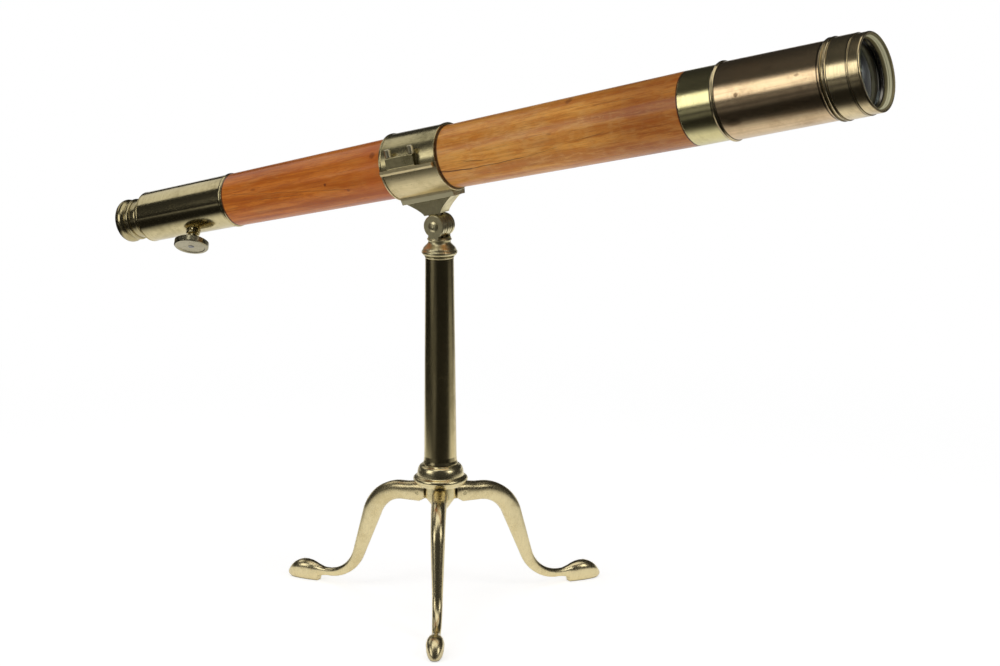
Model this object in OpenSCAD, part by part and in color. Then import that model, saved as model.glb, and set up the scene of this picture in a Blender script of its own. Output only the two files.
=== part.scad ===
// Table telescope on a folding brass tripod. Millimetres, +Z up, +X towards the object glass.
// The part stands on the plane Z = 0 with its overall length centred on X = 0.

/* [Tripod] */
// Radius of the circle through the middles of the three feet
foot_circle_r = 150; // [130:1:170]
// Distance of each leg's hinge pin from the pillar axis
leg_pin_r = 21; // [20:0.5:24]
// Height of the leg hinge pins
leg_pin_z = 101.5; // [95:0.5:115]
// Radius of a leg hinge pin
leg_pin_rad = 1.5; // [1.2:0.1:2]
// Depth of a leg at its hinge
leg_root_depth = 18.6; // [16:0.2:20]
// Depth of a leg where the knee starts
leg_shoulder_depth = 16.8; // [15:0.2:19]
// Fall of a leg's middle line from its hinge to the knee
shoulder_fall = 1.4; // [0:0.1:3]
// Depth of a leg where the knee ends
leg_knee_depth = 17.4; // [14:0.2:19]
// Depth of a leg at the foot of the shin
leg_shin_depth = 11; // [9:0.2:13]
// Depth of a leg at the ankle
leg_ankle_depth = 7.2; // [6.5:0.1:9]
// Width of a leg at its hinge
leg_root_w = 14; // [12.5:0.1:15]
// Width of a leg at the ankle
leg_ankle_w = 8; // [7:0.1:10]
// Bend radius of the knee, on the middle line
knee_bend_r = 36; // [30:1:40]
// Bend radius of the ankle, on the middle line
ankle_bend_r = 37; // [30:1:40]
// Slope of the shin below the horizontal
shin_angle = 70; // [62:0.5:72]
// Thickness of the lug that each leg straddles
lug_t = 5; // [4:0.1:6]
// Radius of the rounded end of a lug
lug_r = 5.5; // [4.5:0.1:6]
// Distance from the hub core out to the hinge pins
hinge_reach = 7.7; // [7:0.1:8.5]
// Radius of the rim of the flange that the open legs bear against
flange_r = 24.4; // [23.5:0.1:26]
// Radius of the bell above the flange
bell_r = 20.8; // [20:0.1:22]

/* [Pillar] */
// Height of the seam between the tripod head and the pillar, above the leg hinge pins
pillar_rise = 28.8; // [27:0.1:34]
// Length of the pillar above that seam
pillar_l = 186.7; // [150:0.1:210]
// Radius of the pillar at its foot
pillar_r0 = 14.5; // [13:0.1:16]
// Radius of the pillar at its top
pillar_r1 = 12.6; // [11.5:0.1:13.5]
// Radius of the pillar's bore
pillar_bore_r = 9; // [8:0.1:10]
// Length of the pillar's spigot in the tripod head
pillar_spigot_l = 16; // [10:1:20]
// Length of the socket let into the pillar top
socket_l = 34; // [25:1:45]
// Thickness of the socket's rim ring
socket_rim_t = 2.8; // [2:0.1:4]
// Radius of the head's spindle
spindle_r = 6; // [4.5:0.1:7]

/* [Compass joint] */
// Height of the compass joint's pin above the top of the pillar
joint_rise = 29; // [28:0.1:32]
// Radius of the joint's round leaves
leaf_r = 10.2; // [9:0.1:11]
// Thickness of one leaf
leaf_t = 3.8; // [3:0.1:5]
// Radius of the joint's pin
joint_pin_r = 3; // [2:0.1:4]
// Height of the tube's middle line above the joint pin, square to the tube
axis_h = 56.7; // [56:0.1:58]
// Tilt of the tube at rest
tilt = 14.3; // [0:0.1:30]

/* [Collar] */
// Length of the collar along the tube
collar_l = 59; // [50:1:70]
// Thickness of the collar's two shells at their thinner end
collar_t = 1.7; // [1.4:0.1:2.5]
// Length of the saddle plate under the collar
saddle_l = 55; // [48:1:60]
// Width of the saddle plate
saddle_w = 21; // [18:0.5:24]
// Thickness of the saddle plate under the middle of the barrel
saddle_t = 6.1; // [5.5:0.1:7.5]
// Length of the clamp lugs on the upper shell
lug_l = 29; // [24:1:36]
// Shift of the clamp lugs from the middle of the collar, towards the eye end
lug_shift = 4; // [0:0.5:8]
// Distance of each clamp screw from the end of its lug
clamp_inset = 2.5; // [2:0.1:5]
// Radius of a clamp screw's shank
clamp_r = 1.25; // [1:0.05:1.5]

/* [Wooden barrel] */
// Distance of the barrel's eye end behind the joint
wood_back = 210; // [190:1:230]
// Distance of the barrel's front end ahead of the joint
wood_front = 272; // [250:1:290]
// Radius of the barrel at its eye end
wood_r0 = 24.1; // [23.7:0.1:24.5]
// Radius of the barrel at its front end
wood_r1 = 31.6; // [31.3:0.1:32]
// Thickness of the barrel's wooden wall
wood_wall = 4.1; // [3.8:0.1:4.6]

/* [Eye end] */
// Length of the brass eye body outside the wood
eye_body_l = 101; // [90:1:115]
// How much smaller the eye body's radius is at its outer end than beside the wood
eye_taper = 1.1; // [0.6:0.1:1.4]
// Thickness of the eye body's wall at its outer end
eye_wall = 1.4; // [1.2:0.1:1.6]
// Room between the draw tube and the eye body for the rack and pinion
gear_room = 4.6; // [4.4:0.1:5]
// Wall of the draw tube and of the tubes inside it
draw_wall = 1; // [0.8:0.1:1.2]
// Length of the draw tube
draw_l = 204; // [180:1:220]
// Travel of the draw tube
focus_travel = 30; // [20:1:32]
// How far the eyepiece cup stands out from the draw tube
cup_rise = 3; // [2:0.1:4]
// Length of the eyepiece cup
cup_l = 24; // [20:0.5:28]
// Distance between the eyepiece cup and the eye body with the draw tube home
cup_gap = 7.4; // [5:0.1:10]

/* [Focusing gear] */
// Distance of the focusing pinion from the outer end of the eye body
pinion_back = 53.2; // [48:0.1:56]
// Lean of the pinion's arbor from straight down, towards the right hand
knob_lean = 32; // [0:1:45]
// Module of the rack and pinion
gear_mod = 0.8; // [0.7:0.05:0.9]
// Number of teeth on the pinion
pinion_teeth = 12; // [10:1:14]
// Pressure angle of the teeth
pressure_angle = 25; // [25:1:28]
// Radius of the pinion's arbor
arbor_r = 2; // [1.5:0.1:2.2]
// Radius of the focusing knob
knob_r = 15.9; // [13:0.1:17]
// Thickness of the focusing knob
knob_t = 6.3; // [5:0.1:8]
// Distance of the knob's outer face from the tube's middle line
knob_face = 40; // [39:0.5:46]

/* [Object glass and shade] */
// Wall of the object tube
object_wall = 1.2; // [1:0.1:1.4]
// Length of the object tube outside the wood
object_l = 152; // [140:1:165]
// Length of the object tube's spigot in the wood
object_spigot_l = 18; // [12:1:24]
// Bare length of the object tube behind the shade
ferrule_l = 31.2; // [25:0.1:36]
// Wall of the sliding shade
shade_wall = 0.9; // [0.7:0.1:1.2]
// Length of the thick band round the shade's front ring
band_l = 25.8; // [22:0.2:28]
// Length of the cap seat at the shade's mouth
cap_seat_l = 7; // [5:0.5:10]
// How far the cap seat stands out from the shade
cap_seat_rise = 0.45; // [0.3:0.05:0.8]
// Distance from the object tube's surface in to the edge of the two lenses
lens_inset = 3; // [2.8:0.1:3.6]
// How far the cell and its ring cover the edge of the lenses
lens_cover = 1.4; // [1:0.1:2]

/* [Hidden] */
$fn = 96;

// Clearances
fit = 0.02;         // pieces fixed together
running = 0.05;     // shafts and tubes that slide or turn
gap = 0.3;          // free faces of pieces that move past each other
cut = 1;            // how far a cutting shape passes the face it cuts

// Tube stations, measured along the tube from the foot of the perpendicular to the joint pin
eye_end = -wood_back - eye_body_l;
pinion_s = eye_end + pinion_back;
cup_back = eye_end - cup_gap;
cup_front = cup_back - cup_l;
draw_hold = 14;     // length of the draw tube held in the eyepiece cup
draw_back_in = cup_back + draw_l - draw_hold;
object_end = wood_front + object_l;
cell_flange_t = 6;
cell_front = object_end + cell_flange_t;
lip_t = 8;
mouth = cell_front + gap + lip_t;
band_front = mouth - cap_seat_l - 3;
shade_back = wood_front + ferrule_l;

// Radii that follow from the barrel's two ends
object_r = wood_r1;
shade_bore_r = object_r + 2 * running;
shade_r = shade_bore_r + shade_wall;
cap_seat_r = shade_r + cap_seat_rise;
glass_r = object_r - lens_inset;
glass_clear_r = glass_r - lens_cover;
eye_body_r = wood_r0 - eye_taper;
eye_bore_r = eye_body_r - eye_wall;
draw_r = eye_bore_r - gear_room;
cup_r = draw_r + cup_rise;

// Heights of the stand
hub_r = leg_pin_r - hinge_reach;
pillar_z0 = leg_pin_z + pillar_rise;
pillar_z1 = pillar_z0 + pillar_l;
pin_z = pillar_z1 + joint_rise;

// The tube's tilted ends set where the pillar stands, so that the overall length is centred
x_front = (mouth * cos(tilt) - (axis_h - cap_seat_r) * sin(tilt));
x_back = (cup_front * cos(tilt) - (axis_h + cup_r) * sin(tilt));
pillar_x = -(x_front + x_back) / 2;

// Colours
brass = [0.80, 0.68, 0.38];
bright_brass = [0.87, 0.75, 0.42];
bronze = [0.45, 0.31, 0.17];
fruitwood = [0.75, 0.42, 0.16];
glass = [0.72, 0.80, 0.82, 0.5];
blacked = [0.12, 0.11, 0.10];
steel = [0.62, 0.62, 0.60];

// Radius of the wooden barrel's outside at a station
function wood_r(s) = wood_r0 + (wood_r1 - wood_r0) * (s + wood_back) / (wood_front + wood_back);

// Point on a circle
function on_circle(c, r, a) = c + r * [cos(a), sin(a)];

// Points along an arc, from angle a0 to a1 in n steps
function arc(c, r, a0, a1, n) = [for (i = [0:n]) on_circle(c, r, a0 + (a1 - a0) * i / n)];

// Straight blend between two values
function mix(a, b, t) = a + (b - a) * t;

// Frame whose origin is the joint pin, with X along the tube and Z square to it
module tube_frame() {
    translate([pillar_x, 0, pin_z]) rotate([0, -tilt, 0]) children();
}

// The tube's middle line as a Z axis, with its zero above the joint pin
module on_axis() {
    tube_frame() translate([0, 0, axis_h]) rotate([0, 90, 0]) children();
}

// Turned piece on the tube's middle line: each point is [radius, station]
module turned(points) {
    on_axis() rotate_extrude() polygon(points);
}

// Plain ring or tube on the tube's middle line
module ring(s0, s1, outer_r, inner_r) {
    turned([[inner_r, s0], [outer_r, s0], [outer_r, s1], [inner_r, s1]]);
}

// Turned piece on the pillar axis: each point is [radius, height]
module upright(points) {
    translate([pillar_x, 0, 0]) rotate_extrude() polygon(points);
}

// Frame of the focusing arbor: Z points inward along it, X along the tube, zero on the middle line
module arbor_frame() {
    tube_frame() translate([pinion_s, 0, axis_h]) rotate([-knob_lean, 0, 0]) children();
}

// Turned piece on the focusing arbor: each point is [radius, distance out from the middle line]
module arbor_turned(points) {
    arbor_frame() mirror([0, 0, 1]) rotate_extrude() polygon(points);
}

// Cylinder across the part, along Y, centred on Y = 0
module cross_cylinder(r, l) {
    rotate([90, 0, 0]) cylinder(r = r, h = l, center = true);
}

// Tripod head
hub_bottom_z = leg_pin_z - 15.5;
hub_tip_r = 5.2;
hub_cone_z = leg_pin_z - 4;
flange_z = leg_pin_z + leg_root_depth / 2 + gap;
flange_t = 8.4;
bell_top_r = pillar_r0 + 2.4;
bell_steps = 10;

module tripod_head_core() {
    bell_z0 = flange_z + flange_t + 0.6;
    bell_z1 = pillar_z0 - 1;
    bell = [for (i = [0:bell_steps]) let (a = i * 90 / bell_steps)
        [mix(bell_top_r, bell_r, cos(a)), mix(bell_z0, bell_z1, sin(a))]];
    difference() {
        upright(concat(
            [[0, hub_bottom_z]],
            arc([hub_tip_r - 2, hub_bottom_z + 2], 2, -90, -20, 4),
            [[hub_r - 0.8, hub_cone_z], [hub_r, hub_cone_z + 1.4], [hub_r, flange_z]],
            [[flange_r - 4, flange_z], [flange_r - 2, flange_z + 2.2]],
            arc([flange_r - 2.6, flange_z + 5.4], 2.6, -70, 80, 7),
            [[bell_r + 0.6, flange_z + flange_t], [bell_r, bell_z0]],
            bell,
            [[bell_top_r - 0.8, pillar_z0], [0, pillar_z0]]));
        translate([pillar_x, 0, pillar_z0 - pillar_spigot_l - gap])
            cylinder(r = pillar_bore_r + 2 + fit, h = pillar_spigot_l + gap + cut);
    }
}

// One hinge lug, reaching out along +X from the pillar axis
module hub_lug() {
    intersection() {
        union() {
            translate([leg_pin_r, 0, leg_pin_z]) cross_cylinder(lug_r, lug_t);
            translate([leg_pin_r / 2 + 2, 0, leg_pin_z])
                cube([leg_pin_r - 4, lug_t, 2 * lug_r], center = true);
        }
        translate([0, 0, hub_bottom_z]) cylinder(r = leg_pin_r + lug_r + cut, h = flange_z - hub_bottom_z + cut);
    }
}

leg_angles = [180, 60, -60];

module tripod_head() {
    color(brass) difference() {
        union() {
            tripod_head_core();
            for (a = leg_angles) translate([pillar_x, 0, 0]) rotate([0, 0, a]) hub_lug();
        }
        for (a = leg_angles) translate([pillar_x, 0, 0]) rotate([0, 0, a])
            translate([leg_pin_r, 0, leg_pin_z]) cross_cylinder(leg_pin_rad + fit, lug_t + 2 * cut);
    }
}

module leg_hinge_pins() {
    color(brass) for (a = leg_angles) translate([pillar_x, 0, 0]) rotate([0, 0, a])
        translate([leg_pin_r, 0, leg_pin_z]) cross_cylinder(leg_pin_rad, leg_root_w - 0.6);
}

// Legs: a middle line of shoulder, knee bend, shin and ankle bend, then the pad foot.
// A station is [distance out, height, slope below the horizontal, depth, width].
ankle_end = 27.2;        // distance of the ankle's end from the middle of the foot
ankle_end_z = 9.8;       // height of the middle line there
knee_drop = knee_bend_r * (1 - cos(shin_angle));
ankle_drop = ankle_bend_r * (1 - cos(shin_angle));
knee_z = leg_pin_z - shoulder_fall;
shin_l = (knee_z - ankle_end_z - knee_drop - ankle_drop) / sin(shin_angle);
ankle_x = foot_circle_r - ankle_end;
knee_x = ankle_x - ankle_bend_r * sin(shin_angle) - shin_l * cos(shin_angle)
    - knee_bend_r * sin(shin_angle);
knee_w = mix(leg_root_w, leg_ankle_w, 0.25);
shin_w = mix(leg_root_w, leg_ankle_w, 0.75);
bend_steps = 12;

shoulder = [for (t = [0:0.25:0.75]) let (fall = t * t * (3 - 2 * t))
    [mix(leg_pin_r, knee_x, t), leg_pin_z - shoulder_fall * fall, 0,
     mix(leg_root_depth, leg_shoulder_depth, fall), leg_root_w]];
knee = [for (i = [0:bend_steps]) let (a = shin_angle * i / bend_steps, t = i / bend_steps)
    [knee_x + knee_bend_r * sin(a), knee_z - knee_bend_r * (1 - cos(a)), a,
     mix(leg_shoulder_depth, leg_knee_depth, t), mix(leg_root_w, knee_w, t)]];
ankle = [for (i = [0:bend_steps]) let (a = shin_angle * (1 - i / bend_steps), t = i / bend_steps)
    [ankle_x - ankle_bend_r * sin(a), ankle_end_z + ankle_bend_r * (1 - cos(a)), a,
     mix(leg_shin_depth, leg_ankle_depth, t), mix(shin_w, leg_ankle_w, t)]];
root = [leg_pin_r - 8, leg_pin_z, 0, leg_root_depth, leg_root_w];

// Pad foot: [distance from its middle, top height, bottom height, width]
foot_form = [[-23, 13.4, 5.6, 8], [-20, 14.2, 4.7, 8.5], [-17.4, 15, 3.7, 9.4],
    [-16.8, 15.2, -1, 9.7], [-13, 16.6, -1.2, 12], [-8.5, 17.7, -1.2, 14.3], [-4, 18.1, -1.2, 15.7],
    [0.5, 17.8, -1.2, 16.1], [4.5, 16.5, -1.2, 15.4], [8, 14.5, -1.2, 13.7], [11, 11.8, -0.8, 11.2],
    [13.2, 9, 0.3, 8.7], [14.9, 6.4, 1.1, 6], [16, 4.2, 2.2, 3.2]];
foot = [for (p = foot_form)
    [foot_circle_r + p[0], (p[1] + p[2]) / 2, 0, p[1] - p[2], p[3]]];
leg_stations = concat([root], shoulder, knee, ankle, foot);

// Cross-section of a leg: a rounded box, fuller on top than below
section_n = 16;
section_power = 0.78;
section_full = pow(cos(180 / section_n), section_power);
function soft(v) = sign(v) * pow(abs(v), section_power) / section_full;
function leg_ring(st) = [for (k = [0:section_n - 1])
    let (a = 360 * (k + 0.5) / section_n, up = soft(cos(a)) * st[3] / 2,
         side = soft(sin(a)) * st[4] / 2 * (cos(a) < 0 ? 0.94 : 1))
    [st[0] + up * sin(st[2]), side, st[1] + up * cos(st[2])]];

// Closed skin through rings of equal count
module skin(rings) {
    n = len(rings[0]);
    m = len(rings);
    points = [for (r = rings) for (p = r) p];
    sides = [for (i = [0:m - 2]) for (k = [0:n - 1]) let (j = (k + 1) % n)
        each [[i * n + k, i * n + j, (i + 1) * n + j], [i * n + k, (i + 1) * n + j, (i + 1) * n + k]]];
    first = [for (k = [n - 1:-1:0]) k];
    last = [for (k = [0:n - 1]) (m - 1) * n + k];
    polyhedron(points, concat([first], sides, [last]), convexity = 6);
}

leg_fold = 50;                       // how far a leg folds down and in
end_r = leg_root_depth / 2;          // rounding of the leg's end above its pin
end_reach = leg_pin_r - hub_r - gap; // how near the leg's end comes to the hub
bevel_angle = leg_fold + 8;          // where the end's lower bevel starts, below the level

// What is cut off the leg's inner end, seen from the side: the rest turns clear of the hub
end_room = leg_root_depth + 2;       // how far the cut goes up, down and in
module end_cut() {
    bevel = on_circle([0, 0], end_reach, 180 + bevel_angle);
    rotate([90, 0, 0]) linear_extrude(2 * leg_root_w, center = true) polygon(concat(
        [[-end_room, end_room], [-end_reach, end_room], [-end_reach, 0]],
        arc([0, 0], end_reach, 180, 180 + bevel_angle, 6),
        [bevel + end_room * [sin(bevel_angle), -cos(bevel_angle)], [-end_room, -2 * end_room]]));
}

// Room inside the leg for the lug, from the open leg to the folded one
module leg_slot() {
    w = lug_t + 2 * gap;
    l = lug_r + 8;
    cross_cylinder(lug_r + gap, w);
    for (a = [0, leg_fold / 3, leg_fold * 2 / 3, leg_fold])
        rotate([0, -a, 0]) translate([-l / 2, 0, 0]) cube([l, w, 2 * (lug_r + gap)], center = true);
}

// One leg reaching out along +X
module leg_solid() {
    difference() {
        skin([for (st = leg_stations) leg_ring(st)]);
        translate([leg_pin_r, 0, leg_pin_z]) {
            difference() {
                translate([-end_room, -leg_root_w, 0]) cube([end_room, 2 * leg_root_w, end_room]);
                cross_cylinder(end_r, 2 * leg_root_w + cut);
            }
            end_cut();
            leg_slot();
            cross_cylinder(leg_pin_rad + running, leg_root_w + 2 * cut);
        }
        translate([foot_circle_r - ankle_end, -leg_root_w, -leg_root_w])
            cube([2 * ankle_end, 2 * leg_root_w, leg_root_w]);
    }
}

module leg_at(a) {
    color(brass) translate([pillar_x, 0, 0]) rotate([0, 0, a]) leg_solid();
}
module leg_rear() { leg_at(leg_angles[0]); }
module leg_left() { leg_at(leg_angles[1]); }
module leg_right() { leg_at(leg_angles[2]); }

// Pillar: a plain tapered column, bored for the socket
module pillar() {
    color(brass) upright([
        [pillar_bore_r, pillar_z0 - pillar_spigot_l], [pillar_bore_r + 2, pillar_z0 - pillar_spigot_l],
        [pillar_bore_r + 2, pillar_z0], [pillar_r0 + 1, pillar_z0], [pillar_r0 + 0.9, pillar_z0 + 1.2],
        [pillar_r0 + 0.3, pillar_z0 + 3.4], [pillar_r0, pillar_z0 + 7],
        [pillar_r1, pillar_z1], [pillar_bore_r, pillar_z1]]);
}

socket_r = pillar_bore_r - fit;
bead_arc = 80;       // how far round a turned bead goes on each side
head_z = pillar_z1 + socket_rim_t + gap;

module pillar_socket() {
    rim_r = pillar_r1 + 0.5;
    color(bright_brass) upright(concat(
        [[spindle_r + running, pillar_z1 - socket_l], [socket_r, pillar_z1 - socket_l],
         [socket_r, pillar_z1], [rim_r - 0.6, pillar_z1]],
        arc([rim_r - socket_rim_t / 2, pillar_z1 + socket_rim_t / 2], socket_rim_t / 2, -bead_arc, bead_arc, 8),
        [[spindle_r + running, pillar_z1 + socket_rim_t]]));
}

// Head of the pillar: vase-shaped neck, spindle below, three leaves above
leaf_pitch = leaf_t + gap;
slot_z = pin_z - leaf_r - 0.1;
leaf_edge = 0.6;     // bevel round a leaf
neck_r = leaf_r - 0.4;
cap_r = pillar_r1 + 3.2;
spindle_end = pillar_z1 - socket_l - 7;

module leaf(y, r, depth) {
    h = leaf_t / 2;
    translate([0, y, 0]) rotate([90, 0, 0]) rotate_extrude() polygon([[0, -h], [r - leaf_edge, -h],
        [r, leaf_edge - h], [r, h - leaf_edge], [r - leaf_edge, h], [0, h]]);
    translate([0, y, -depth / 2]) cube([r, leaf_t, depth], center = true);
}

module joint_head() {
    cove_z = mix(head_z, slot_z, 0.76);
    cap_z = head_z + 4.4;
    profile = concat(
        [[0, spindle_end], [spindle_r * 0.5, spindle_end], [spindle_r * 0.5, pillar_z1 - socket_l - gap],
         [spindle_r, pillar_z1 - socket_l - gap], [spindle_r, head_z], [cap_r - 1.2, head_z]],
        arc([cap_r - 2.2, head_z + 2.3], 2.2, -66, 50, 7),
        [for (i = [0:9]) let (a = i * 180 / 9)
            [mix(neck_r, cap_r - 1.1, (1 + cos(a)) / 2), mix(cap_z, cove_z, i / 9)]],
        arc([neck_r - 0.2, mix(cove_z, slot_z, 0.5)], 1.2, -60, 60, 5),
        [[neck_r + 0.3, slot_z], [0, slot_z]]);
    color(brass) difference() {
        union() {
            upright(profile);
            translate([pillar_x, 0, pin_z])
                for (k = [-2, 0, 2]) leaf(k * leaf_pitch, leaf_r, leaf_r + 1.5);
        }
        translate([pillar_x, 0, pin_z]) cross_cylinder(joint_pin_r + running, 8 * leaf_t);
    }
}

module spindle_washer() {
    z1 = pillar_z1 - socket_l - gap;
    color(brass) upright([[spindle_r * 0.5 + running, z1 - 1.5], [pillar_bore_r - 1.4, z1 - 1.5],
        [pillar_bore_r - 1.4, z1], [spindle_r * 0.5 + running, z1]]);
}

module spindle_nut() {
    color(brass) translate([pillar_x, 0, spindle_end + 1]) difference() {
        cylinder(r = spindle_r, h = pillar_z1 - socket_l - gap - 1.5 - spindle_end - 1, $fn = 6);
        translate([0, 0, -cut]) cylinder(r = spindle_r * 0.5 + fit, h = 2 * spindle_r);
    }
}

// Pin of the compass joint, with a low round head on the near side and a nut on the far side
joint_half = 2.5 * leaf_t + 2 * gap;
joint_head_r = joint_pin_r + 1.6;
joint_nut_r = joint_pin_r + 3;

module joint_pin() {
    color(brass) translate([pillar_x, 0, pin_z]) rotate([90, 0, 0]) rotate_extrude() polygon(concat(
        [[0, -joint_half - 4], [joint_pin_r, -joint_half - 4], [joint_pin_r, joint_half]],
        [[joint_head_r, joint_half], [joint_head_r, joint_half + 0.6]],
        [[joint_head_r * 0.6, joint_half + 1.3], [0, joint_half + 1.6]]));
}

module joint_nut() {
    color(brass) translate([pillar_x, joint_half, pin_z]) rotate([-90, 0, 0]) difference() {
        union() {
            cylinder(r = joint_nut_r, h = 1.2);
            cylinder(r = joint_nut_r - 0.6, h = 3.4, $fn = 8);
        }
        translate([0, 0, -cut]) cylinder(r = joint_pin_r + fit, h = 3.4 + 2 * cut);
    }
}

// Block between the joint and the saddle: it flares from the leaves to the saddle plate
block_z0 = leaf_r + gap;
block_z1 = axis_h - wood_r(0) - saddle_t;
block_top_l = saddle_l - 8.4;
block_top_w = saddle_w - 4.4;
block_foot = 16.6;
block_steps = 10;
block_foot_w = 2 * leaf_pitch + leaf_t + 3;
plate_bevel = 1.6;

module joint_block() {
    flare = [for (i = [0:block_steps]) let (t = i / block_steps)
        [mix(block_foot, block_top_l, pow(t, 1.35)) / 2, mix(block_z0, block_z1, t)]];
    color(brass) tube_frame() difference() {
        union() {
            intersection() {
                rotate([90, 0, 0]) linear_extrude(2 * saddle_w, center = true)
                    polygon(concat(flare, [for (i = [block_steps:-1:0]) [-flare[i][0], flare[i][1]]]));
                rotate([90, 0, 90]) linear_extrude(2 * saddle_l, center = true)
                    polygon([[-block_foot_w / 2, block_z0], [block_foot_w / 2, block_z0],
                        [block_top_w / 2, block_z1], [-block_top_w / 2, block_z1]]);
            }
            for (k = [-1, 1]) mirror([0, 0, 1]) leaf(k * leaf_pitch, leaf_r - 0.2, block_z0 + 0.5);
        }
        cross_cylinder(joint_pin_r + running, 8 * leaf_t);
        for (x = [-1, 1]) translate([x * saddle_screw_x, 0, block_z1 - saddle_screw_l])
            cylinder(r = saddle_screw_r + fit, h = saddle_screw_l + cut);
    }
}

// Screws that hold the saddle plate to the block, sunk under the wooden barrel
saddle_screw_r = 1.8;
saddle_screw_l = 7;
saddle_screw_x = 10;
saddle_head_r = 3.4;
saddle_head_z = axis_h - wood_r(0) - 2.2;

module saddle_screws() {
    color(steel) tube_frame() for (x = [-1, 1])
        translate([x * saddle_screw_x, 0, 0]) rotate_extrude() polygon([
            [0, block_z1 - saddle_screw_l + gap], [saddle_screw_r, block_z1 - saddle_screw_l + gap],
            [saddle_screw_r, saddle_head_z - 1.6], [saddle_head_r, saddle_head_z],
            [0, saddle_head_z]]);
}

// Collar: two half shells round the wooden barrel, the lower one cast with its saddle plate
collar_half = collar_l / 2;
rim_w = 1.7;
rim_rise = 0.7;
parting = gap / 2;
collar_r = wood_r(collar_half) + collar_t;
flange_reach = collar_r + 4.1;
flange_depth = 4.6;
upper_lug_h = 10.6;
lug_reach = collar_r + 4.9;
clamp_y = collar_r + 1.9;
clamp_pitch = lug_l - 2 * clamp_inset;

module collar_bore() {
    turned([[0, -collar_half - cut], [wood_r(-collar_half - cut) + running, -collar_half - cut],
        [wood_r(collar_half + cut) + running, collar_half + cut], [0, collar_half + cut]]);
}

module collar_shell(r) {
    turned([[0, -collar_half], [r + rim_rise - 0.4, -collar_half], [r + rim_rise, -collar_half + 0.4],
        [r + rim_rise, -collar_half + rim_w], [r, -collar_half + rim_w + 0.4],
        [r, collar_half - rim_w - 0.4], [r + rim_rise, collar_half - rim_w],
        [r + rim_rise, collar_half - 0.4], [r + rim_rise - 0.4, collar_half], [0, collar_half]]);
}

// Both sides of the tube, at the height of its middle line
module both_sides() {
    tube_frame() translate([0, 0, axis_h]) for (m = [0, 1]) mirror([0, m, 0]) children();
}

module clamp_holes(r) {
    both_sides() for (x = [-1, 1])
        translate([x * clamp_pitch / 2 - lug_shift, clamp_y, -flange_depth - cut])
            cylinder(r = r, h = flange_depth + upper_lug_h + 2 * cut);
}

module collar_lower() {
    shell_r = collar_r - 0.4;
    color(brass) difference() {
        union() {
            collar_shell(shell_r);
            tube_frame() rotate([90, 0, 90]) linear_extrude(saddle_l, center = true) polygon([
                [plate_bevel - saddle_w / 2, block_z1], [saddle_w / 2 - plate_bevel, block_z1],
                [saddle_w / 2, axis_h - shell_r + 1.5], [saddle_w / 2, axis_h - wood_r(0) / 2],
                [-saddle_w / 2, axis_h - wood_r(0) / 2], [-saddle_w / 2, axis_h - shell_r + 1.5]]);
            both_sides() rotate([90, 0, 90]) linear_extrude(collar_l - 4, center = true) polygon([
                [shell_r - 4, 0], [flange_reach, 0], [flange_reach, -flange_depth + 2],
                [flange_reach - 1.2, -flange_depth], [shell_r - 4, -flange_depth]]);
        }
        collar_bore();
        tube_frame() translate([-collar_l, -collar_l, axis_h - parting])
            cube([2 * collar_l, 2 * collar_l, collar_l]);
        clamp_holes(clamp_r + fit);
        tube_frame() for (x = [-1, 1]) translate([x * saddle_screw_x, 0, 0]) rotate_extrude() polygon([
            [0, block_z1 - cut], [saddle_screw_r + fit, block_z1 - cut],
            [saddle_screw_r + fit, saddle_head_z - 1.6], [saddle_head_r + fit, saddle_head_z],
            [saddle_head_r + fit, axis_h], [0, axis_h]]);
    }
}

module collar_upper() {
    lug_x = lug_l / 2;
    color(brass) difference() {
        union() {
            collar_shell(collar_r);
            both_sides() translate([-lug_shift, 0, 0]) rotate([90, 0, 90])
                linear_extrude(lug_l, center = true) polygon([
                    [collar_r - 5, 0], [lug_reach - 0.8, 0], [lug_reach, 0.8],
                    [lug_reach, upper_lug_h - 0.8], [lug_reach - 0.8, upper_lug_h],
                    [collar_r - 5, upper_lug_h]]);
        }
        collar_bore();
        tube_frame() translate([-collar_l, -collar_l, axis_h + parting - collar_l])
            cube([2 * collar_l, 2 * collar_l, collar_l]);
        clamp_holes(clamp_r + 0.1);
    }
}

// Clamp screws: tall round heads on the upper lugs
module clamp_screws() {
    head_r = 2.7;
    head_h = 7.4;
    color(bright_brass) both_sides() for (x = [-1, 1])
        translate([x * clamp_pitch / 2 - lug_shift, clamp_y, 0]) difference() {
            rotate_extrude() polygon([[0, -flange_depth + gap], [clamp_r, -flange_depth + gap],
                [clamp_r, upper_lug_h], [head_r, upper_lug_h], [head_r, upper_lug_h + head_h - 0.6],
                [head_r - 0.6, upper_lug_h + head_h], [0, upper_lug_h + head_h]]);
            translate([-head_r - cut, -0.35, upper_lug_h + head_h - 1.4]) cube([2 * (head_r + cut), 0.7, 3]);
        }
}

// Wooden barrel: tapered outside and in, with a counterbore for each brass end
eye_spigot_r = eye_bore_r + 0.8;
eye_spigot_l = 15;
object_spigot_r = wood_r1 - 2.6;

module wood_barrel() {
    color(fruitwood) turned([
        [eye_spigot_r + fit, -wood_back], [wood_r0, -wood_back], [wood_r1, wood_front],
        [object_spigot_r + fit, wood_front], [object_spigot_r + fit, wood_front - object_spigot_l],
        [wood_r(wood_front - object_spigot_l) - wood_wall, wood_front - object_spigot_l],
        [wood_r(eye_spigot_l - wood_back) - wood_wall, eye_spigot_l - wood_back],
        [eye_spigot_r + fit, eye_spigot_l - wood_back]]);
}

// Stop inside the barrel that keeps stray light from the eye end
stop_s = 150;
stop_t = 2;
module barrel_stop() {
    bore = function(s) wood_r(s) - wood_wall - fit;
    color(blacked) turned([[17, stop_s], [bore(stop_s), stop_s],
        [bore(stop_s + stop_t), stop_s + stop_t], [17, stop_s + stop_t]]);
}

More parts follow.
